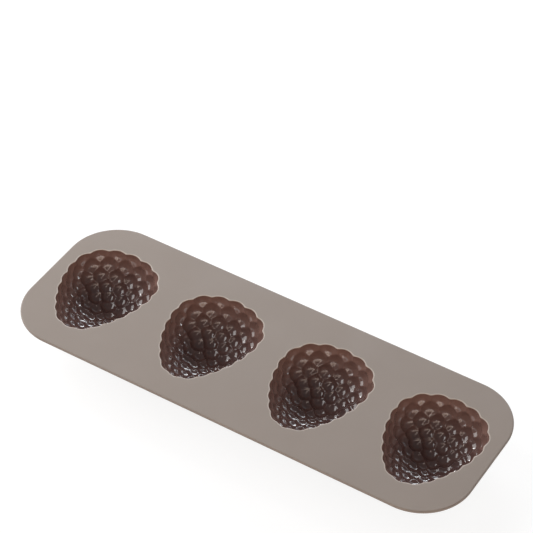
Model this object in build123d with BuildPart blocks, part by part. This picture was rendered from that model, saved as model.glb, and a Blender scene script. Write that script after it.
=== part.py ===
from build123d import *
from math import acos, cos, pi, radians, sin, sqrt
import os

# Silicone chocolate mould: one flat deck with four raspberry cups hanging below it.
# Millimetres. The origin is on the ground, under the middle of the mould. X runs along
# the row of cups, Y points to the round ends of the berries, and Z is up.

# Row of cups
cup_count = 4
cup_pitch = 75.0

# Deck, which reaches past the middle of the outer cups by the margin at each end
end_margin = 37.5
mould_width = 107.0
corner_radius = 32.0
deck_thickness = 2.0
edge_rounding = 0.8
mould_length = cup_pitch * (cup_count - 1) + 2 * end_margin

# Egg-shaped core of the berry, which lies with its long axis in the deck's top face.
# Its outline is four tangent arcs, from the tip round one side to the blunt end.
tip_place = -33.0
tip_radius = 13.0
tip_turn = 51.0
flank_radius = 68.0
flank_turn = 34.0
shoulder_radius = 19.0
shoulder_turn = 71.0

# Drupelets, the round grains that cover the core in rows round the cup. The rows' angles
# are down from the deck's top face. A drupelet's radius is its share of its cell's width,
# and the packing keeps the deeper rows full.
drupelet_share = 0.85
drupelet_height = 4.2
mouth_drupelets = 20
row_count = 7
first_row = 4
row_step = 13
row_packing = 1.2
row_centre = 1.0
tip_taper = 0.15
tip_crowding = 0.15

# Cup wall at its thinnest, and the round foot under each cup
cup_wall = 1.4
floor_thickness = 2.4
foot_width = 24.0
foot_place = 4.0
foot_height = 8.0
foot_rounding = 0.8

# The arc of the blunt end takes the rest of the half turn and brings the outline to the axis
end_turn = 180 - tip_turn - flank_turn - shoulder_turn
flank_start = radians(tip_turn)
shoulder_start = flank_start + radians(flank_turn)
end_start = shoulder_start + radians(shoulder_turn)
end_radius = (
    tip_radius * sin(flank_start)
    + flank_radius * (sin(shoulder_start) - sin(flank_start))
    + shoulder_radius * (sin(end_start) - sin(shoulder_start))
) / sin(end_start)
egg_arcs = (
    (tip_radius, radians(tip_turn)),
    (flank_radius, radians(flank_turn)),
    (shoulder_radius, radians(shoulder_turn)),
    (end_radius, radians(end_turn)),
)
egg_side = sum(radius * turn for radius, turn in egg_arcs)


def egg_point(distance):
    """Point on the core's outline, at a distance along it from the tip."""
    across, along, heading = 0.0, tip_place, 0.0
    for radius, turn in egg_arcs:
        bend = min(turn, distance / radius)
        across += radius * (sin(heading + bend) - sin(heading))
        along -= radius * (cos(heading + bend) - cos(heading))
        distance -= radius * bend
        heading += bend
    return across, along


def egg_slice(place):
    """Radius of the core at a place along the Y axis, and the heading of its outline there."""
    across, along, heading = 0.0, tip_place, 0.0
    for radius, turn in egg_arcs:
        there = acos(max(-1, min(1, cos(heading) - (place - along) / radius)))
        bend = min(turn, there - heading)
        across += radius * (sin(heading + bend) - sin(heading))
        along -= radius * (cos(heading + bend) - cos(heading))
        heading += bend
        if bend < turn:
            break
    return across, heading


def drupelets():
    """Middle and radius of the ball that makes each drupelet of the lower half berry."""
    for row in range(row_count):
        shrink = cos(radians(first_row + row_step * row))
        in_row = 2 * round(mouth_drupelets * min(1, row_packing * shrink) / 2)
        for number in range(in_row):
            share = (number + row % 2 / 2) / in_row
            share = share - tip_crowding * sin(2 * pi * share) / (2 * pi)
            side = 1 if share < 0.5 else -1
            across, along = egg_point(2 * egg_side * min(share, 1 - share))
            across = side * across * shrink
            along = row_centre + (along - row_centre) * shrink
            core_radius, heading = egg_slice(along)
            radial = Vector(across, 0, -sqrt(max(core_radius**2 - across**2, 0)))
            outward = Vector(0, -cos(heading), 0)
            if core_radius > 0:
                outward = outward + radial * (sin(heading) / core_radius)
            size = 1 - tip_taper * shrink * max(0, cos(2 * pi * share))**2
            radius = drupelet_share * 2 * egg_side * shrink / in_row * size
            foot = radial + Vector(0, along, 0)
            yield foot + outward * (drupelet_height * size - radius), radius


def half_egg(skin):
    """Half of the core's outline, grown by a skin, as a face beside the Y axis."""
    with BuildSketch(mode=Mode.PRIVATE) as profile:
        with BuildLine():
            tip = JernArc((0, tip_place - skin), (1, 0), tip_radius + skin, tip_turn)
            flank = JernArc(tip @ 1, tip % 1, flank_radius + skin, flank_turn)
            shoulder = JernArc(flank @ 1, flank % 1, shoulder_radius + skin, shoulder_turn)
            end = JernArc(shoulder @ 1, shoulder % 1, end_radius + skin, end_turn)
            Line(end @ 1, tip @ 0)
        make_face()
    return profile.sketch


# The berries' long axes lie in the deck's top face, so the cups set the height of the mould
core_depth = half_egg(0).bounding_box().max.X
mould_height = core_depth + drupelet_height + floor_thickness
deck_underside = mould_height - deck_thickness

# Lower half of the berry that fills one cavity, with its long axis on the Y axis. Its balls
# are sunk into the core until only their height stands out.
with BuildPart() as berry:
    with BuildSketch(Plane.XY):
        add(half_egg(0))
    revolve(axis=Axis.Y, revolution_arc=180)
    for middle, radius in drupelets():
        with Locations(middle):
            Sphere(radius)

# Cup: an egg-shaped shell on a foot, with the berry taken out of it
with BuildPart() as cup:
    with BuildSketch(Plane.XY.offset(mould_height)):
        add(half_egg(drupelet_height + cup_wall))
    revolve(axis=Axis((0, 0, mould_height), (0, 1, 0)), revolution_arc=180)
    with BuildSketch(Plane.XY):
        with Locations((0, foot_place)):
            Circle(foot_width / 2)
    extrude(amount=foot_height)
    fillet(cup.edges().group_by(Axis.Z)[0], foot_rounding)
    split(bisect_by=Plane.XY.offset(deck_underside), keep=Keep.BOTTOM)
    add(berry.part.moved(Location((0, 0, mould_height))), mode=Mode.SUBTRACT)

# Deck: a flat sheet with round corners and one berry-shaped opening above each cup
with BuildPart() as deck:
    with BuildSketch(Plane.XY.offset(deck_underside)):
        RectangleRounded(mould_length, mould_width, corner_radius)
    extrude(amount=deck_thickness)
    fillet(deck.edges().group_by(Axis.Z)[0] + deck.edges().group_by(Axis.Z)[-1], edge_rounding)
    with Locations(Plane.XY.offset(mould_height)):
        with GridLocations(cup_pitch, 0, cup_count, 1):
            add(berry.part, mode=Mode.SUBTRACT)
deck.part.label = "deck"

os.makedirs("parts", exist_ok=True)
export_step(deck.part, "parts/deck.step")

# The cups are all the same, one under each opening of the deck
for number in range(cup_count):
    with BuildPart() as raspberry_cup:
        with Locations(((number - (cup_count - 1) / 2) * cup_pitch, 0, 0)):
            add(cup.part)
    raspberry_cup.part.label = f"raspberry_cup_{number + 1}"
    export_step(raspberry_cup.part, f"parts/raspberry_cup_{number + 1}.step")
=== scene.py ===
from math import cos, pi, radians, sin

import bmesh
import bpy
import numpy as np
from mathutils import Matrix, Quaternion, Vector
from mathutils.geometry import delaunay_2d_cdt


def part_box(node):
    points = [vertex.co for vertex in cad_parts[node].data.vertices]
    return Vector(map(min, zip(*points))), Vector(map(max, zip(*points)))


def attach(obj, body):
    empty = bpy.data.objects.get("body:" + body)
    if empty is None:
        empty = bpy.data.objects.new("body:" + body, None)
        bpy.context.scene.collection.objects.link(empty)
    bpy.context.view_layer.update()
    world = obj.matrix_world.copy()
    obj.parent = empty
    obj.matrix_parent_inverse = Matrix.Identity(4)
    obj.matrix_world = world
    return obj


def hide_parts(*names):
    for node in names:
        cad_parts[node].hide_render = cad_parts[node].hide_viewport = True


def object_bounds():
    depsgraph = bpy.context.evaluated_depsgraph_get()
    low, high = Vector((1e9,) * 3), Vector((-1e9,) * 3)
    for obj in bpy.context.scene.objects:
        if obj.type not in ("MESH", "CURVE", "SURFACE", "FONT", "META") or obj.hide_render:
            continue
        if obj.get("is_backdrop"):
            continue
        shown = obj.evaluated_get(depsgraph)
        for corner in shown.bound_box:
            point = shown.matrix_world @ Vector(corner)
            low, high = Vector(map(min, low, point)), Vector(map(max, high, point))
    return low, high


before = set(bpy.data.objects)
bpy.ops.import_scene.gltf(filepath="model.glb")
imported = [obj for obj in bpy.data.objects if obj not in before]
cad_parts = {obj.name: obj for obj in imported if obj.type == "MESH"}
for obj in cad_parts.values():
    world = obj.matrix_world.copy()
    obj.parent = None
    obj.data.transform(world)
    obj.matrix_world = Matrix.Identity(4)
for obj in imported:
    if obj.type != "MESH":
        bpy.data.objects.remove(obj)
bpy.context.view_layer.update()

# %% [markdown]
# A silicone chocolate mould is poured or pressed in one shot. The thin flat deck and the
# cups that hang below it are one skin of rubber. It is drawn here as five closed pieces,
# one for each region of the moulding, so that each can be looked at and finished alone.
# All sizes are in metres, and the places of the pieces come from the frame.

in_mm = 1000  # millimetres in a metre, for the sizes that are printed
deck_low, deck_high = (Vector(corner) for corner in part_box("deck"))
deck_top = deck_high.z
deck_under = deck_low.z
cup_nodes = sorted(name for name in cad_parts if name.startswith("raspberry_cup_"))
cup_boxes = [[Vector(corner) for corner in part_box(name)] for name in cup_nodes]
cup_places = [(low.x + high.x) / 2 for low, high in cup_boxes]
print("deck from", tuple(deck_low), "to", tuple(deck_high))
print("cups stand at x =", [round(x, 4) for x in cup_places])

# %% [markdown]
# A raspberry is a cluster of round grains, called drupelets, on an egg-shaped core.
# The outline of the core is four arcs that run into each other, from the tip round one
# side to the blunt end. Turned about its long axis, the outline gives the core. A curve
# drawn by hand would do as well, but arcs are easily grown by a skin of even thickness,
# and the outside of the cup needs that.

# %% The egg-shaped core
tip_place = -0.033
tip_radius = 0.013
tip_turn = radians(51)
flank_radius = 0.068
flank_turn = radians(34)
shoulder_radius = 0.019
shoulder_turn = radians(71)
end_start = tip_turn + flank_turn + shoulder_turn
end_radius = (
    tip_radius * sin(tip_turn)
    + flank_radius * (sin(tip_turn + flank_turn) - sin(tip_turn))
    + shoulder_radius * (sin(end_start) - sin(tip_turn + flank_turn))
) / sin(end_start)
egg_arcs = (
    (tip_radius, tip_turn),
    (flank_radius, flank_turn),
    (shoulder_radius, shoulder_turn),
    (end_radius, pi - end_start),
)
egg_side = sum(radius * turn for radius, turn in egg_arcs)


def egg_point(distance, skin=0.0):
    """Point on the core's outline, at a distance along it from the tip, moved out by a skin."""
    across, along, heading = 0.0, tip_place, 0.0
    for radius, turn in egg_arcs:
        bend = min(turn, distance / radius)
        across += radius * (sin(heading + bend) - sin(heading))
        along -= radius * (cos(heading + bend) - cos(heading))
        distance -= radius * bend
        heading += bend
    return across + skin * sin(heading), along - skin * cos(heading)


def egg_slice(place, skin=0.0):
    """Radius of the core, grown by a skin, at a place on its axis, and its outline's heading."""
    across, along, heading = 0.0, tip_place - skin, 0.0
    for radius, turn in egg_arcs:
        grown = radius + skin
        cosine = cos(heading) - (place - along) / grown
        bend = min(turn, float(np.arccos(np.clip(cosine, -1, 1))) - heading)
        across += grown * (sin(heading + bend) - sin(heading))
        along -= grown * (cos(heading + bend) - cos(heading))
        heading += bend
        if bend < turn:
            break
    return across, heading


print("outline of one side of the core:", round(egg_side * in_mm, 1), "mm")

# %% [markdown]
# The grains sit on the core in rows that run parallel to the mouth, each row half a step
# round from the last, the way that bricks are laid. Each grain is a ball, sunk into the
# core until only the height of the grain stands out. They could be placed by hand, but a
# berry is regular enough for a formula, with smaller grains that lie closer at the tip.

# %% The grains
grain_height = 0.0042
grain_roundness = 0.85
mouth_grains = 20
row_count = 7
first_row = radians(4)
row_step = radians(13)
row_packing = 1.2
row_centre = 0.001
tip_taper = 0.15
tip_crowding = 0.15


def grains():
    """Centre and radius of the ball that makes each grain of the lower half berry."""
    balls = []
    for row in range(row_count):
        shrink = cos(first_row + row_step * row)
        in_row = 2 * round(mouth_grains * min(1, row_packing * shrink) / 2)
        ball = grain_roundness * 2 * egg_side * shrink / in_row
        for number in range(in_row):
            share = (number + row % 2 / 2) / in_row
            share = share - tip_crowding * sin(2 * pi * share) / (2 * pi)
            side = 1 if share < 0.5 else -1
            across, along = egg_point(2 * egg_side * min(share, 1 - share))
            across = side * across * shrink
            along = row_centre + (along - row_centre) * shrink
            radius, heading = egg_slice(along)
            radial = np.array([across, 0.0, -max(radius**2 - across**2, 0.0) ** 0.5])
            outward = np.array([0.0, -cos(heading), 0.0])
            if radius > 0:
                outward = outward + radial * sin(heading) / radius
            size = 1 - tip_taper * shrink * max(0.0, cos(2 * pi * share)) ** 2
            sunk = (ball - grain_height) * size
            centre = radial + np.array([0.0, along, 0.0]) - outward * sunk
            balls.append((*centre, ball * size))
    return np.array(balls)


balls = grains()
print("grains in one cup:", len(balls))

# %% [markdown]
# The inside of a cup is where the balls end, seen from a point in the middle of the
# mouth. Joining a hundred balls with booleans would give that shape too, but slowly, and
# with slivers along every ridge. Here a ray is sent from the middle in each direction, and
# the furthest ball that it leaves gives the wall, so the points lie in even rings. A soft
# maximum in place of the hard one rounds the ridges between the grains, as the real
# mould's ridges are rounded, because silicone can't hold a knife edge. Close to the mouth
# they are rounder still, so that the lip is an even, gently waved line.

# %% Casting the wall of a cup
view_point = np.array([0.0, -0.001, 0.0])
ridge_softness = 0.00022
lip_softening = 1.8
lip_fade = 0.003
typical_reach = 0.03
dip_rounds = 8
mouth_steps = 416
wall_rows = 120


def wall_distance(directions, grown=0.0, softness=ridge_softness):
    """How far the wall is from the middle of the mouth, along each direction."""
    centres = balls[:, :3] - view_point
    toward = directions @ centres.T
    reach = (balls[:, 3] + grown) ** 2 - (centres**2).sum(axis=1) + toward**2
    leave = np.where(reach > 0, toward + np.sqrt(np.maximum(reach, 0)), 0.0)
    furthest = leave.max(axis=1)
    depth = np.maximum(-directions[:, 2] * furthest, 0)
    softness = softness * (1 + lip_softening * np.exp(-depth / lip_fade))
    spread = np.exp((leave - furthest[:, None]) / softness[:, None]).sum(axis=1)
    return furthest + softness * np.log(spread)


def rays(around, down):
    """Unit directions, by the angle round the mouth and the angle down from it."""
    flat = np.cos(down)
    return np.stack([flat * np.sin(around), -flat * np.cos(around), -np.sin(down)], axis=-1)


def dip_at_depth(around, depth, grown=0.0):
    """Angle down from the mouth at which the wall lies at a depth, in ever better guesses."""
    down = np.full_like(around, depth / typical_reach)
    for _ in range(dip_rounds):
        distance = wall_distance(rays(around, down), grown)
        down = np.arcsin(np.clip(depth / distance, 0, 1))
    return down


def wall_ring(around, down, grown=0.0):
    """One closed ring of points on the wall, round the cup."""
    directions = rays(around, down)
    return view_point + directions * wall_distance(directions, grown)[:, None]


around = np.linspace(0, 2 * pi, mouth_steps, endpoint=False)
outline = wall_ring(around, np.zeros_like(around))
print("mouth is", np.round(np.ptp(outline, axis=0)[:2] * in_mm, 1), "mm across and along")

# %% [markdown]
# The shell of a cup is a little larger egg with the same arcs, grown by the height of the
# grains and the thinnest wall. Seen from above it is a height field: each point inside its
# outline has one depth. A formula for that depth could be worked out from the arcs, but a
# table of the egg's radius along its axis is shorter, and as exact as a mould needs.

# %% The shell of a cup
thinnest_wall = 0.0014
shell_skin = grain_height + thinnest_wall
foot_place = 0.004
table_steps = 900
search_reach = 0.06
search_rounds = 40

blunt_end = egg_point(egg_side, shell_skin)[1]
table_places = np.linspace(tip_place - shell_skin, blunt_end, table_steps)
table_radii = np.array([egg_slice(place, shell_skin)[0] for place in table_places])
around_outside = around[::2]
outward = np.stack([np.sin(around_outside), -np.cos(around_outside)], axis=1)
foot_centre = np.array([0.0, foot_place])


def shell_depth(plan):
    """Depth of the shell's outside below the mouth at points seen from above."""
    radius = np.interp(plan[:, 1], table_places, table_radii)
    return np.sqrt(np.maximum(radius**2 - plan[:, 0] ** 2, 0))


def shell_reach(depth):
    """How far the shell reaches from the foot's middle at a depth, along each direction."""
    near = np.zeros(len(outward))
    far = np.full(len(outward), search_reach)
    for _ in range(search_rounds):
        middle = (near + far) / 2
        inside = shell_depth(foot_centre + outward * middle[:, None]) > depth
        near = np.where(inside, middle, near)
        far = np.where(inside, far, middle)
    return near


print("shell is", round(float(table_radii.max()) * in_mm, 2), "mm deep at its deepest")

# %% [markdown]
# A moulding of even thickness shows its inside on its outside, so between the grains the
# shell is drawn in a little along the same rays that cast the wall. A Solidify modifier
# would make an even wall with less work, but it folds over itself at the ridges.

# %% The relief of the shell
shell_relief = 0.45
relief_softness = 0.0012
relief_fade = 0.006
deck_thickness = deck_top - deck_under


def shell_ring(reach, flare=0.0):
    """One closed ring of points on the shell, drawn in between the grains."""
    plan = foot_centre + outward * reach[:, None]
    depth = np.maximum(shell_depth(plan), deck_thickness)
    points = np.column_stack([plan, -depth]) - view_point
    distance = np.linalg.norm(points, axis=1)
    rays_out = points / distance[:, None]
    spare = distance - wall_distance(rays_out, softness=relief_softness) - thinnest_wall
    fade = np.clip((depth - deck_thickness) / relief_fade, 0, 1)
    eased = fade * fade * (3 - 2 * fade)
    drawn_in = shell_relief * eased * np.maximum(spare, 0)
    points = view_point + rays_out * (distance - drawn_in)[:, None]
    points[:, :2] += outward * flare
    return points


outline = shell_ring(shell_reach(deck_thickness))
print("shell is", np.round(np.ptp(outline, axis=0)[:2] * in_mm, 1), "mm across and along")

# %% [markdown]
# Every piece is a closed stack of rings of points. Faces are laid between one ring and the
# next. Where a ring has grown small, every second point is dropped, so that the faces stay
# about as wide as they are high down to the pole. An edge that is crisp on the real thing
# is marked sharp, and there the smooth shading stops. Blender's own primitives and
# modifiers could make plain parts of this, but not with edges that follow the waved mouths.

# %% Rings into pieces
class Skin:
    """A closed skin that is laid ring by ring and becomes one piece of the mould."""

    def __init__(self):
        self.mesh = bmesh.new()
        self.finish = 0

    def ring(self, points, middle_x=0.0):
        """A closed ring of points, given from the middle of a mouth."""
        add = self.mesh.verts.new
        return [add((middle_x + x, y, deck_top + z)) for x, y, z in points]

    def face(self, *corners):
        """One face of the finish that is being laid."""
        self.mesh.faces.new(corners).material_index = self.finish

    def strip(self, upper, lower):
        """Faces from one ring to the next, which has as many points or half as many."""
        count = len(lower)
        if len(upper) == count:
            for step in range(count):
                self.face(upper[step - 1], upper[step], lower[step], lower[step - 1])
            return
        for step in range(count):
            before, skipped, here = upper[2 * step - 2], upper[2 * step - 1], upper[2 * step]
            self.face(before, skipped, lower[step - 1])
            self.face(skipped, here, lower[step], lower[step - 1])

    def cap(self, ring, middle):
        """Triangles from a small ring to one point in its middle."""
        for step in range(len(ring)):
            self.face(ring[step - 1], ring[step], middle)

    def crease(self, ring):
        """Keep the edges along a ring sharp."""
        for step in range(len(ring)):
            self.mesh.edges.get((ring[step - 1], ring[step])).smooth = False

    def piece(self, name, materials):
        """The finished piece, shaded smooth but for its sharp edges, riding on the mould."""
        bmesh.ops.recalc_face_normals(self.mesh, faces=self.mesh.faces)
        for face in self.mesh.faces:
            face.smooth = True
        mesh = bpy.data.meshes.new(name)
        self.mesh.to_mesh(mesh)
        self.mesh.free()
        for material in materials:
            mesh.materials.append(material)
        made = bpy.data.objects.new(name, mesh)
        bpy.context.scene.collection.objects.link(made)
        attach(made, "root")
        print(name, "has", len(mesh.vertices), "points and", len(mesh.polygons), "faces")
        return made


# %% [markdown]
# A flat sheet with holes, such as the top of the deck, is cut into triangles that keep to
# its rings. Blender's triangulation leaves out what is past the outer ring, but it fills
# the holes too. So each triangle that has all its corners on one hole is tested, and is
# left out where its middle lies inside that hole. Filling the sheet by hand would do as
# well, but only for one set of sizes.

# %% Flat sheets
inside_outline = 1  # the kind of triangulation that leaves out what is past the outline
merge_distance = 1e-9


def lies_inside(point, ring):
    """Whether a flat point lies inside a ring, by the edges crossed on the way out."""
    crossed = 0
    for step, here in enumerate(ring):
        last = ring[step - 1]
        if (last.y > point.y) != (here.y > point.y):
            cut = last.x + (point.y - last.y) / (here.y - last.y) * (here.x - last.x)
            crossed += point.x < cut
    return crossed % 2 == 1


def lay_sheet(skin, outer, holes):
    """The flat sheet between an outer ring and the rings of its holes."""
    points = list(outer)
    loops = [range(len(outer))]
    for hole in holes:
        loops.append(range(len(points), len(points) + len(hole)))
        points.extend(hole)
    owner = {number: index for index, loop in enumerate(loops) for number in loop}
    edges = [(loop[step - 1], loop[step]) for loop in loops for step in range(len(loop))]
    flat = [point.co.to_2d() for point in points]
    triangles = delaunay_2d_cdt(flat, edges, [], inside_outline, merge_distance)[2]
    for triangle in triangles:
        owners = {owner[number] for number in triangle}
        if len(owners) == 1 and owners != {0}:
            centre = sum((flat[number] for number in triangle), Vector((0, 0))) / 3
            if lies_inside(centre, [flat[number] for number in loops[owners.pop()]]):
                continue
        skin.face(*(points[number] for number in triangle))


# %% [markdown]
# Silicone is matt where its tool was blasted and glossy where the tool was polished. The
# deck is matt and taupe. The cups are polished, so that the berries come out shining, and
# there the same rubber looks darker and redder, because no haze of scattered light lies
# over its colour. The finishes share three effects, and each is a node group: a mottle in
# the colour, a fine grain in the surface, and a mask that fades with depth. Nodes could be
# placed by hand in the editor, but a small helper that adds and feeds a node keeps each
# effect short enough to read.

# %% Wiring nodes
# The Mix node's inputs for its factor and its two colours, and its output for a colour
mix_factor, mix_first, mix_second = 0, 6, 7
mixed_colour = 2


def wire(tree, kind, inputs, output=0, **options):
    """Add a node, set its options, feed its inputs, and give one of its outputs or all."""
    node = tree.nodes.new(kind)
    for option, value in options.items():
        setattr(node, option, value)
    for key, value in inputs.items():
        if isinstance(value, bpy.types.NodeSocket):
            tree.links.new(value, node.inputs[key])
        else:
            node.inputs[key].default_value = value
    return node.outputs if output is None else node.outputs[output]


def mix_colours(tree, factor, first, second):
    """The first colour where the factor is nothing, and the second where it is one."""
    inputs = {mix_factor: factor, mix_first: first, mix_second: second}
    return wire(tree, "ShaderNodeMix", inputs, mixed_colour, data_type="RGBA")


# %% [markdown]
# A node group is a small tree that is built once and placed in each finish with its own
# values. Copies of its nodes in every finish would look the same, but a change would have
# to be made in all of them. The groups share two helpers: noise that takes its size in
# metres, as a ruler gives it, and a stretch from one range of values to another.

# %% Groups, noise and ranges
def node_group(name, inputs, outputs):
    """A new shader group with named sockets, and its input and output sockets inside."""
    tree = bpy.data.node_groups.new(name, "ShaderNodeTree")
    for title, value in inputs.items():
        kind = "NodeSocketColor" if isinstance(value, tuple) else "NodeSocketFloat"
        tree.interface.new_socket(title, in_out="INPUT", socket_type=kind).default_value = value
    for title, kind in outputs.items():
        tree.interface.new_socket(title, in_out="OUTPUT", socket_type=kind)
    given = tree.nodes.new("NodeGroupInput").outputs
    made = tree.nodes.new("NodeGroupOutput").inputs
    print("group:", name, "from", list(inputs), "to", list(outputs))
    return tree, given, made


def noise(tree, size, detail):
    """Soft noise whose features are about as wide as the size, in metres."""
    place = wire(tree, "ShaderNodeTexCoord", {}, "Object")
    per_metre = wire(tree, "ShaderNodeMath", {0: 1.0, 1: size}, operation="DIVIDE")
    inputs = {"Vector": place, "Scale": per_metre, "Detail": detail}
    return wire(tree, "ShaderNodeTexNoise", inputs)


def spread(tree, value, low, high, to_low=0.0, to_high=1.0, **options):
    """A value stretched from one range to another."""
    ranges = {"From Min": low, "From Max": high, "To Min": to_low, "To Max": to_high}
    return wire(tree, "ShaderNodeMapRange", {"Value": value, **ranges}, **options)


# %% [markdown]
# Pigment and fine dust never lie quite evenly in rubber, so the mottle blends two near
# colours in soft clouds. It could be a painted picture, but noise has no seams and no size
# at which it runs out.

# %% Mottle
cloud_range = (0.32, 0.68)

mottle_group, given, made = node_group(
    "Rubber mottle",
    {
        "Colour": (0.3, 0.3, 0.3, 1.0),
        "Cloud colour": (0.35, 0.35, 0.35, 1.0),
        "Cloud size": 0.03,
        "Amount": 0.5,
    },
    {"Colour": "NodeSocketColor"},
)
clouds = noise(mottle_group, given["Cloud size"], detail=4.0)
strengths = {0: spread(mottle_group, clouds, *cloud_range), 1: given["Amount"]}
share = wire(mottle_group, "ShaderNodeMath", strengths, operation="MULTIPLY")
mottled = mix_colours(mottle_group, share, given["Colour"], given["Cloud colour"])
mottle_group.links.new(mottled, made["Colour"])

# %% [markdown]
# The grain is noise at two sizes: pits as fine as the blasted tool leaves, and wide ripples
# as in any thin soft sheet. It puts out a height for a Bump node, and a roughness that
# follows the ripples. The mesh could hold the pits too, but only with millions of faces.

# %% Grain
ripple_range = (0.3, 0.7)

grain_group, given, made = node_group(
    "Rubber grain",
    {
        "Grain size": 0.0006,
        "Ripple size": 0.012,
        "Ripple share": 0.4,
        "Lowest roughness": 0.4,
        "Highest roughness": 0.6,
    },
    {"Height": "NodeSocketFloat", "Roughness": "NodeSocketFloat"},
)
pits = noise(grain_group, given["Grain size"], detail=2.0)
ripples = noise(grain_group, given["Ripple size"], detail=3.0)
blend = {"Factor": given["Ripple share"], "A": pits, "B": ripples}
uneven = wire(grain_group, "ShaderNodeMix", blend)
smoothest, roughest = given["Lowest roughness"], given["Highest roughness"]
rough = spread(grain_group, ripples, *ripple_range, smoothest, roughest)
grain_group.links.new(uneven, made["Height"])
grain_group.links.new(rough, made["Roughness"])

# %% [markdown]
# The mask is one at the top height and fades to nothing further down, with a soft start
# and a soft end. Painted vertex colours could do this too, but the height of a point is
# there already, and it looks the same from all sides.

# %% Depth mask
depth_group, given, made = node_group(
    "Depth mask", {"Top height": 0.03, "Fade depth": 0.03}, {"Mask": "NodeSocketFloat"}
)
place = wire(depth_group, "ShaderNodeTexCoord", {}, "Object")
height = wire(depth_group, "ShaderNodeSeparateXYZ", {0: place}, "Z")
heights = {0: given["Top height"], 1: given["Fade depth"]}
lowest = wire(depth_group, "ShaderNodeMath", heights, operation="SUBTRACT")
fade = spread(depth_group, height, lowest, given["Top height"], interpolation_type="SMOOTHSTEP")
depth_group.links.new(fade, made["Mask"])

# %% [markdown]
# Each finish is one Principled shader. The groups drive its colour, its roughness and a
# shallow bump, and what is the same all over is set on the shader itself. One material
# with a mask for each region could hold them all, but a finish of its own for each region
# is easier to read and to change.

# %% One rubber finish
coat_roughness = 0.05


def rubber(name, colour, clouds, grain, bump_depth, shine, coat=0.0):
    """A rubber finish from the shared effects, the depth of its bump, its shine and its coat."""
    material = bpy.data.materials.new(name)
    material.use_nodes = True
    tree = material.node_tree
    shader = tree.nodes["Principled BSDF"]
    mottle = {"Colour": colour(tree) if callable(colour) else colour, **clouds}
    mottled = wire(tree, "ShaderNodeGroup", mottle, "Colour", node_tree=mottle_group)
    surface = wire(tree, "ShaderNodeGroup", grain, None, node_tree=grain_group)
    bump = {"Distance": bump_depth, "Height": surface["Height"]}
    tree.links.new(mottled, shader.inputs["Base Color"])
    tree.links.new(surface["Roughness"], shader.inputs["Roughness"])
    tree.links.new(wire(tree, "ShaderNodeBump", bump, "Normal"), shader.inputs["Normal"])
    shader.inputs["Specular IOR Level"].default_value = shine
    shader.inputs["Coat Weight"].default_value = coat
    shader.inputs["Coat Roughness"].default_value = coat_roughness
    print("finish:", name)
    return material


# %% [markdown]
# The deck is matt, with fine pits and a dull shine. Its lips are smoother and painted paler,
# a painted highlight for the light that their rounding catches. The lip could be a thin ring
# of its own, but it is the same rubber, so it is only another finish on the faces of the deck.

# %% Finishes of the deck
matt_taupe = rubber(
    "Matt taupe rubber",
    colour=(0.3, 0.248, 0.214, 1.0),
    clouds={"Cloud colour": (0.315, 0.261, 0.226, 1.0), "Cloud size": 0.04, "Amount": 0.8},
    grain={
        "Grain size": 0.0004,
        "Ripple size": 0.03,
        "Lowest roughness": 0.52,
        "Highest roughness": 0.6,
    },
    bump_depth=0.00006,
    shine=0.45,
)
# painted highlight: the lip is paler than the deck to stand for the light line its rounding
# catches
lip_with_painted_highlight = rubber(
    "Lip rubber with painted highlight",
    colour=(0.48, 0.4, 0.345, 1.0),
    clouds={"Cloud colour": (0.44, 0.365, 0.31, 1.0), "Cloud size": 0.02, "Amount": 0.8},
    grain={
        "Grain size": 0.0004,
        "Ripple size": 0.01,
        "Lowest roughness": 0.3,
        "Highest roughness": 0.4,
    },
    bump_depth=0.00003,
    shine=0.5,
)

# %% [markdown]
# The inside of a cup is polished: a thin clear coat over hardly any grain. Its colour holds
# painted light and shade: warmer and lighter near the mouth, a painted glow for the light
# that thin walls let through, and falling off with depth to nearly black, painted shade
# deep in the cup. True scattering in the rubber could give the glow as well, but it takes
# long to render, and an exported model doesn't keep it. The outside of a cup is matt like
# the deck, and browner.

# %% Finishes of the cups
# painted light and shade: the wall is painted lighter near the mouth and darker deep down
painted_shade_depth = 0.026
painted_shade_brown = (0.11, 0.058, 0.054, 1.0)
painted_glow_brown = (0.275, 0.16, 0.132, 1.0)


def painted_light_wall_colour(tree):
    """Painted glow in warm brown near the mouth, and painted shade nearly black at the floor."""
    depths = {"Top height": deck_top, "Fade depth": painted_shade_depth}
    mask = wire(tree, "ShaderNodeGroup", depths, "Mask", node_tree=depth_group)
    return mix_colours(tree, mask, painted_shade_brown, painted_glow_brown)


glossy_brown = rubber(
    "Glossy brown rubber",
    colour=painted_light_wall_colour,
    clouds={"Cloud colour": (0.195, 0.11, 0.09, 1.0), "Cloud size": 0.012, "Amount": 0.35},
    grain={
        "Grain size": 0.0012,
        "Ripple size": 0.005,
        "Lowest roughness": 0.07,
        "Highest roughness": 0.14,
    },
    bump_depth=0.00003,
    shine=0.8,
    coat=0.4,
)
matt_brown = rubber(
    "Matt brown rubber",
    colour=(0.2, 0.16, 0.135, 1.0),
    clouds={"Cloud colour": (0.225, 0.18, 0.152, 1.0), "Cloud size": 0.02, "Amount": 0.8},
    grain={
        "Grain size": 0.0004,
        "Ripple size": 0.01,
        "Lowest roughness": 0.48,
        "Highest roughness": 0.6,
    },
    bump_depth=0.00006,
    shine=0.45,
)

# %% [markdown]
# The deck is a flat sheet two millimetres thick with a rounded rim. Each mouth follows
# the outline of the berry. Its lip is rounded over a little and painted paler than the
# deck, a painted highlight that shows as a fine light line round each cup. The wall of the
# mouth is already polished, so the gloss starts right under the lip. A rounded box with the
# mouths cut out of it would look much the same from far off, but a cut leaves a lip that is
# uneven close up.
# Rings that follow each mouth keep it even, and the flat sheet is filled in between them.
# A narrow flat band beside each rounding keeps the shading of the sheet flat.

# %% The rings of the deck
corner_radius = 0.032
corner_steps = 36
rim_rounding = 0.0008
lip_rounding = 0.0004
rounding_steps = 6
flat_band = 0.0003
half_length = (deck_high.x - deck_low.x) / 2
half_width = (deck_high.y - deck_low.y) / 2


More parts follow.
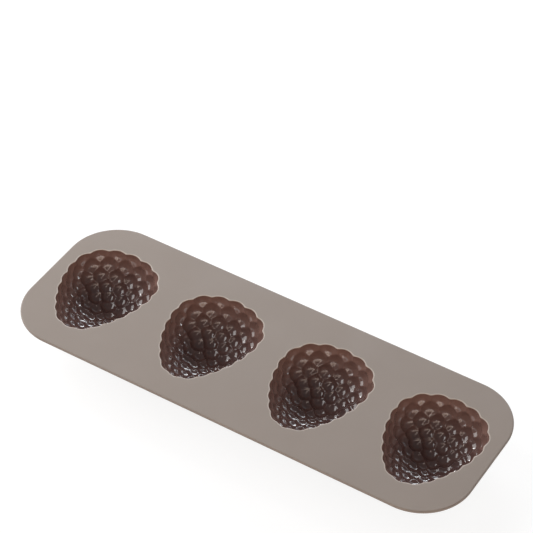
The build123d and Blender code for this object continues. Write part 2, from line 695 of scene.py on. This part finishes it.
def deck_ring(inset, depth):
    """The deck's outline, drawn in by an inset, at a depth below its top."""
    points = []
    radius = corner_radius - inset
    for corner, (side_x, side_y) in enumerate(((1, 1), (-1, 1), (-1, -1), (1, -1))):
        for step in range(corner_steps + 1):
            angle = pi / 2 * (corner + step / corner_steps)
            x = side_x * (half_length - corner_radius) + radius * cos(angle)
            y = side_y * (half_width - corner_radius) + radius * sin(angle)
            points.append((x, y, -depth))
    return points


def mouth_ring(depth, grown=0.0):
    """The mouth's outline at a depth below the deck's top, grown outward."""
    down = dip_at_depth(around, depth, grown)
    points = wall_ring(around, down, grown)
    points[:, 2] = -depth
    return points


def rounding(radius):
    """Steps of a quarter turn, as how far each point is drawn in and how deep it lies."""
    for step in range(rounding_steps + 1):
        turn = pi / 2 * step / rounding_steps
        yield radius * (1 - sin(turn)), radius * (1 - cos(turn))


print("deck is", [round(side * in_mm, 1) for side in deck_high - deck_low], "mm")

# %% [markdown]
# The rim is laid first, from the top round the edge to the underside. The lip and the wall
# of each mouth follow, down to the edge where the cup goes on. The two flat sheets come
# last, because they need the rings of the rim and the mouths to keep to.

# %% The deck
deck_finishes = [matt_taupe, lip_with_painted_highlight, glossy_brown]
deck = Skin()
rim = [deck.ring(deck_ring(rim_rounding + flat_band, 0))]
for inset, depth in rounding(rim_rounding):
    rim.append(deck.ring(deck_ring(inset, depth)))
for inset, depth in reversed(list(rounding(rim_rounding))):
    rim.append(deck.ring(deck_ring(inset, deck_thickness - depth)))
rim.append(deck.ring(deck_ring(rim_rounding + flat_band, deck_thickness)))
for upper, lower in zip(rim, rim[1:]):
    deck.strip(upper, lower)

lip_rings = [mouth_ring(0, lip_rounding + flat_band)]
lip_rings += [mouth_ring(depth, grown) for grown, depth in rounding(lip_rounding)]
wall_depths = (0.0009, 0.0013, 0.0016, 0.0019, deck_thickness)
wall_rings = [lip_rings[-1]] + [mouth_ring(depth) for depth in wall_depths]
top_holes, bottom_holes = [], []
for cup_place in cup_places:
    lip = [deck.ring(points, cup_place) for points in lip_rings]
    wall = lip[-1:] + [deck.ring(points, cup_place) for points in wall_rings[1:]]
    deck.finish = deck_finishes.index(lip_with_painted_highlight)
    for upper, lower in zip(lip, lip[1:]):
        deck.strip(upper, lower)
    deck.finish = deck_finishes.index(glossy_brown)
    for upper, lower in zip(wall, wall[1:]):
        deck.strip(upper, lower)
    deck.crease(wall[-1])
    top_holes.append(lip[0])
    bottom_holes.append(wall[-1])
deck.finish = deck_finishes.index(matt_taupe)
lay_sheet(deck, rim[0], top_holes)
lay_sheet(deck, rim[-1], bottom_holes)
mould_deck = deck.piece("mould_deck", deck_finishes)
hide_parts("deck")

# %% [markdown]
# A cup is one closed skin. It starts at the deck's underside and goes down the polished
# wall to the lowest point of the berry, in equal steps of the angle below the mouth. Steps
# of equal depth would be as easy, but they would leave long thin faces at the bottom.

# %% The rings of the polished wall
first_row_share = 0.0025


def cavity_rings():
    """Rings of the polished wall, from the deck's underside to near the lowest point."""
    angles = around
    start = dip_at_depth(angles, deck_thickness)
    rings = []
    for part in (0, first_row_share, *np.linspace(0, 1, wall_rows)[1:-1]):
        down = start + (pi / 2 - start) * part
        if cos(down.mean()) * mouth_steps < len(angles) / 2 and len(angles) % 2 == 0:
            angles, start, down = angles[::2], start[::2], down[::2]
        rings.append(wall_ring(angles, down))
    rings[0][:, 2] = -deck_thickness
    return rings


cavity = cavity_rings()
lowest_point = wall_ring(np.zeros(1), np.full(1, pi / 2))
print("cavity reaches", round(-float(lowest_point[0, 2]) * in_mm, 2), "mm below the deck's top")

# %% [markdown]
# The outside starts at the same ring and goes down on its own: the small rounding where
# the shell leaves the deck, the egg-shaped shell, the rounded edge of the foot and the flat
# that the mould stands on. The foot could be a cylinder that is pushed into the shell, but
# that would leave faces inside the rubber, and no rounding where the two meet.

# %% The rings of the outside
foot_radius = 0.012
root_rounding = 0.0012
foot_rounding = 0.0008
foot_root = 0.0007
shell_rows = 64
foot_shares = (0.8, 0.4, 0.2, 0.1)


def foot_ring(radius, height):
    """A ring of the foot at a height above the ground."""
    plan = foot_centre + outward * radius
    return np.column_stack([plan, np.full(len(plan), height - deck_top)])


def outside_rings():
    """Rings of the outside, from the deck's underside to near the middle of the foot."""
    rings = []
    for inset, depth in rounding(root_rounding):
        rings.append(shell_ring(shell_reach(deck_thickness + inset), depth))
    rings.reverse()
    edge = shell_reach(deck_thickness + root_rounding)
    foot_edge = foot_radius + foot_root
    for row in range(1, shell_rows):
        turn = pi / 2 * (1 - row / shell_rows)
        rings.append(shell_ring(foot_edge + (edge - foot_edge) * sin(turn)))
    for inset, depth in rounding(foot_root):
        ring = shell_ring(np.full(len(outward), foot_radius + inset))
        ring[:, 2] -= depth
        rings.append(ring)
    for inset, depth in reversed(list(rounding(foot_rounding))):
        rings.append(foot_ring(foot_radius - inset, depth))
    rings.append(foot_ring(foot_radius - foot_rounding - flat_band, 0))
    for halvings, share in enumerate(foot_shares, 1):
        rings.append(foot_ring(foot_radius * share, 0)[:: 2**halvings])
    return rings


outside = outside_rings()
foot_middle = [(0.0, foot_place, -deck_top)]
print("inside has", len(cavity), "rings and outside has", len(outside))

# %% [markdown]
# The four cups are the same shape, one under each mouth. They could share one mesh that is
# placed four times, but each is its own piece of the frame with its place in its mesh, so
# the same rings are laid four times.

# %% The cups
cup_finishes = [glossy_brown, matt_brown]
for node, cup_place in zip(cup_nodes, cup_places):
    cup = Skin()
    wall = [cup.ring(points, cup_place) for points in cavity]
    for upper, lower in zip(wall, wall[1:]):
        cup.strip(upper, lower)
    cup.cap(wall[-1], cup.ring(lowest_point, cup_place)[0])
    cup.finish = cup_finishes.index(matt_brown)
    shell = [cup.ring(points, cup_place) for points in outside]
    for upper, lower in zip(wall[:1] + shell, shell):
        cup.strip(upper, lower)
    cup.cap(shell[-1], cup.ring(foot_middle, cup_place)[0])
    cup.crease(wall[0])
    cup.crease(shell[0])
    made_cup = cup.piece(node.replace("raspberry", "berry"), cup_finishes)
    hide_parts(node)

# %% [markdown]
# The mould stands on plain white paper. The camera sees it almost as pure white, and
# everything else is lit by it at a plain level, so a soft shadow of the mould stays. More
# light on the paper could do this too, but it would bleach the mould, so Light Path mixes
# in a glow that only the camera and the reflections see.

# %% White paper
floor_glow = 1.16
glow_share = 0.75
paper_colour = (0.85, 0.85, 0.85, 1)
paper_roughness = 0.9
paper_shine = 0.1
white = (1, 1, 1, 1)


def seen_directly(tree):
    """One for rays from the camera and for rays that are mirrored or seen through glass."""
    path = wire(tree, "ShaderNodeLightPath", {}, None)
    seen = path["Is Camera Ray"]
    for ray in ("Is Glossy Ray", "Is Transmission Ray"):
        seen = wire(tree, "ShaderNodeMath", {0: seen, 1: path[ray]}, operation="MAXIMUM")
    return seen


paper = bpy.data.materials.new("White paper")
paper.use_nodes = True
tree = paper.node_tree
sheet = tree.nodes["Principled BSDF"]
sheet.inputs["Base Color"].default_value = paper_colour
sheet.inputs["Roughness"].default_value = paper_roughness
sheet.inputs["Specular IOR Level"].default_value = paper_shine
glow = wire(tree, "ShaderNodeEmission", {"Color": white, "Strength": floor_glow})
shares = {0: seen_directly(tree), 1: glow_share}
amount = wire(tree, "ShaderNodeMath", shares, operation="MULTIPLY")
look = wire(tree, "ShaderNodeMixShader", {0: amount, 1: sheet.outputs[0], 2: glow})
tree.links.new(look, tree.nodes["Material Output"].inputs["Surface"])
print("paper glows at", floor_glow, "for a share of", glow_share)

# %% [markdown]
# The paper lies flat under the mould and curves up all round, far away, as a sweep in a
# studio does. A flat floor alone would end in a line against the world.

# %% Floor
floor_radius = 4.0
sweep_rise = 2.0
sweep_steps = 12
floor_corners = 64

sweep = bmesh.new()
profile = [(floor_radius, 0.0)]
for step in range(1, sweep_steps + 1):
    turn = pi / 2 * step / sweep_steps
    profile.append((floor_radius + sweep_rise * sin(turn), sweep_rise * (1 - cos(turn))))
turns = [2 * pi * corner / floor_corners for corner in range(floor_corners)]
rings = []
for radius, rise in profile:
    points = [(radius * cos(turn), radius * sin(turn), rise) for turn in turns]
    rings.append([sweep.verts.new(point) for point in points])
sweep.faces.new(rings[0])
for lower, upper in zip(rings, rings[1:]):
    for corner in range(floor_corners):
        corners = (lower[corner - 1], lower[corner], upper[corner], upper[corner - 1])
        sweep.faces.new(corners).smooth = True
floor_mesh = bpy.data.meshes.new("floor")
sweep.to_mesh(floor_mesh)
sweep.free()
floor_mesh.materials.append(paper)
floor = bpy.data.objects.new("floor", floor_mesh)
bpy.context.scene.collection.objects.link(floor)
floor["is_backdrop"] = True
print("floor is flat for", 2 * floor_radius, "m")

# %% [markdown]
# The world is a faint even white that fills in the shadows, as the walls of a studio do. A
# picture of a room would do that too, but it would show in the gloss.

# %% World
world_level = 0.14

world = bpy.data.worlds.new("studio")
bpy.context.scene.world = world
world.use_nodes = True
tree = world.node_tree
background = tree.nodes["Background"]
background.inputs["Color"].default_value = white
background.inputs["Strength"].default_value = world_level
print("world at", world_level)

# %% [markdown]
# Seven soft lamps light the mould. Bare bulbs would show as dots in the gloss, so all of
# them are broad or long sheets of light. A broad one on the left gives most of the light.
# The tall narrow one beside it is thrown back by the polished walls on the right as upright
# streaks, and the two small cool ones behind by the walls on the left as rows of short
# dashes. A broad cool one further back lays a faint silver sheen round the dashes. In front
# a long warm one draws faint glints on the far walls, and a broad low one lights those
# walls and the front edge of the deck.

# %% Lamps
cool_white = (0.9, 0.96, 1.0)
sky_blue = (0.82, 0.9, 1.0)
plain_white = (1, 1, 1)
warm_white = (1.0, 0.85, 0.75)
amber = (1.0, 0.8, 0.66)


def soft_lamp(name, place, wide, high, watts, colour, roll=0.0):
    """A rectangular area lamp that shines at the middle of the mould, rolled about its beam."""
    lamp = bpy.data.lights.new(name, "AREA")
    lamp.shape = "RECTANGLE"
    lamp.size = wide
    lamp.size_y = high
    lamp.energy = watts
    lamp.color = colour
    holder = bpy.data.objects.new(name, lamp)
    bpy.context.scene.collection.objects.link(holder)
    holder.location = place
    aimed = (-Vector(place)).to_track_quat("-Z", "Y") @ Quaternion((0, 0, 1), radians(roll))
    holder.rotation_euler = aimed.to_euler()


soft_lamp("back_lamp", (-0.5, 0.95, 0.8), wide=0.65, high=0.25, watts=5.2, colour=cool_white)
soft_lamp("sky_lamp", (-0.2, 1.3, 1.0), wide=2.2, high=0.6, watts=3.5, colour=sky_blue)
soft_lamp(
    "corner_lamp", (0.6, 0.9, 0.62), wide=0.5, high=0.1, watts=1.2, colour=cool_white, roll=30
)
soft_lamp("strip_lamp", (-1.15, 0.22, 0.42), wide=0.14, high=1.0, watts=7, colour=plain_white)
soft_lamp("left_lamp", (-1.0, -0.3, 0.9), wide=1.2, high=0.9, watts=9, colour=plain_white)
soft_lamp(
    "front_lamp", (0.3, -0.75, 0.95), wide=1.5, high=0.07, watts=1.2, colour=warm_white, roll=55
)
soft_lamp("low_lamp", (0.9, -1.15, 0.45), wide=2.2, high=0.9, watts=8.5, colour=amber)

# %% [markdown]
# The camera stands to the front right and looks down at the mould with a long lens, at
# the angle of the photograph. Its place was worked out once from the outline of the deck
# and the four mouths, and is written as two angles, a distance and the point looked at. A
# constraint could aim it, but it would take away the slight roll of the real camera.

# %% Camera
camera_azimuth = radians(31.77)
camera_elevation = radians(43.81)
camera_roll = radians(0.37)
camera_distance = 1.357
looked_at = Vector((-0.0398, 0.0694, deck_top))
lens_length = 150.9
sensor_width = 36
furthest_seen = 20

back = Vector(
    (
        sin(camera_azimuth) * cos(camera_elevation),
        -cos(camera_azimuth) * cos(camera_elevation),
        sin(camera_elevation),
    )
)
right = Vector((cos(camera_azimuth), sin(camera_azimuth), 0))
up = back.cross(right)
rolled_right = right * cos(camera_roll) + up * sin(camera_roll)
rolled_up = up * cos(camera_roll) - right * sin(camera_roll)
camera = bpy.data.cameras.new("camera")
camera.lens = lens_length
camera.sensor_width = sensor_width
camera.clip_end = furthest_seen
camera_holder = bpy.data.objects.new("camera", camera)
camera_holder.matrix_world = Matrix.Translation(looked_at + back * camera_distance) @ (
    Matrix((rolled_right, rolled_up, back)).transposed().to_4x4()
)
bpy.context.scene.collection.objects.link(camera_holder)
bpy.context.scene.camera = camera_holder
bpy.context.scene.view_settings.view_transform = "Standard"
print("camera at", [round(value, 3) for value in camera_holder.matrix_world.translation])

# %% [markdown]
# The box of what was drawn is printed last, in millimetres.

# %% Sizes and the end
low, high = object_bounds()
print("drawn size:", [round(side * in_mm, 1) for side in high - low], "mm")
